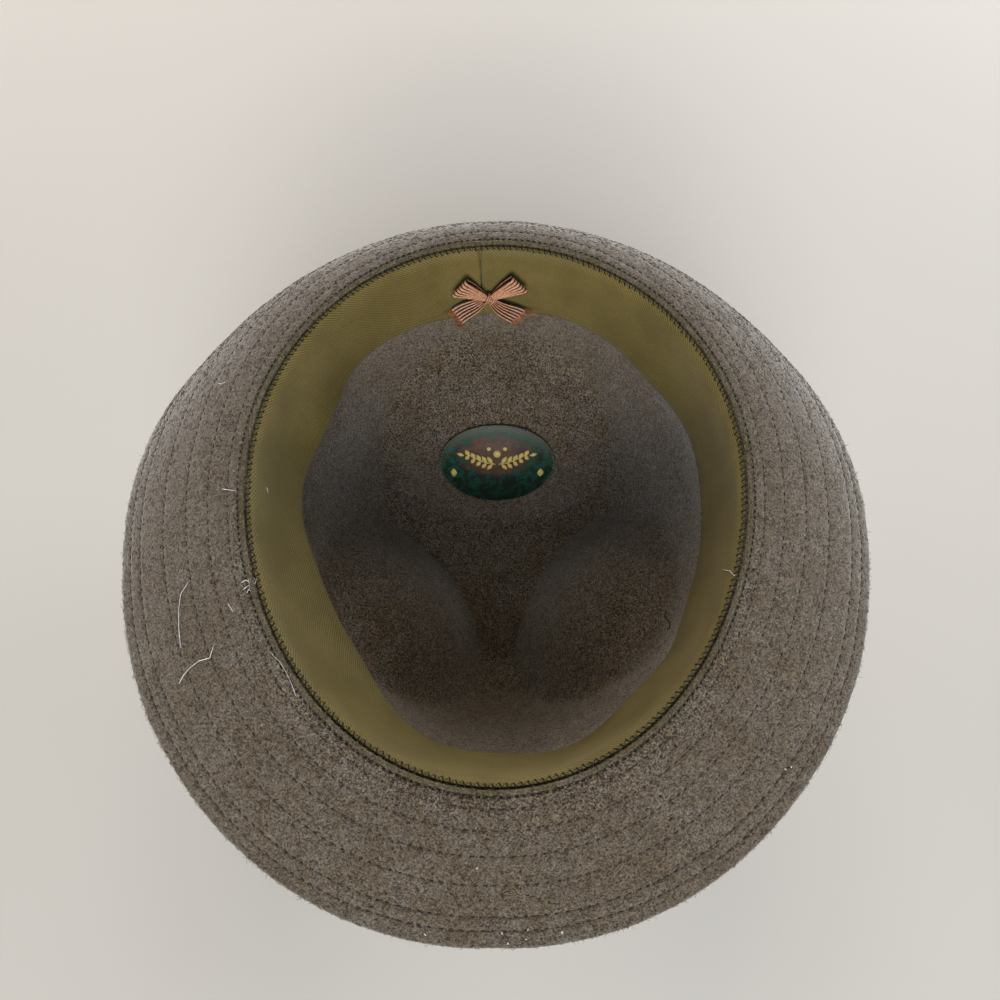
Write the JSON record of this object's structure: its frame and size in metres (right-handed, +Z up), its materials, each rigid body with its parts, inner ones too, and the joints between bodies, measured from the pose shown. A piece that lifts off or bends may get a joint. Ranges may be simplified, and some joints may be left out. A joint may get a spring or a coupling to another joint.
{
  "type": "tyrolean hat",
  "caption": "Felt hat lying on its dented crown, opening up, with a rolled brim, an olive ribbon sweatband, a small striped bow and an oval label inside.",
  "frame": {"origin": "on the floor under the middle of the hat's outline, at the flat of the crown that it lies on", "axes": "+Z up toward the opening, +Y toward the back of the hat, +X toward the wearer's right"},
  "size_m": [0.2613, 0.2604, 0.1084],
  "materials": {
    "felt": "melange wool felt, grey-brown, fuzzy and matte",
    "grosgrain": "olive ribbon with fine ribs, slight sheen",
    "bow_ribbon": "copper-brown ribbon with near-black lengthwise stripes",
    "bow_wrap": "copper-brown ribbon",
    "label_cloth": "smooth green cloth with a thin pale edge and a gold print"
  },
  "bodies": {
    "root": {"felt_body": "felt", "sweatband": "grosgrain", "bow_ribbon": "bow_ribbon", "bow_knot": "bow_wrap", "label": "label_cloth"}
  },
  "joints": []
}
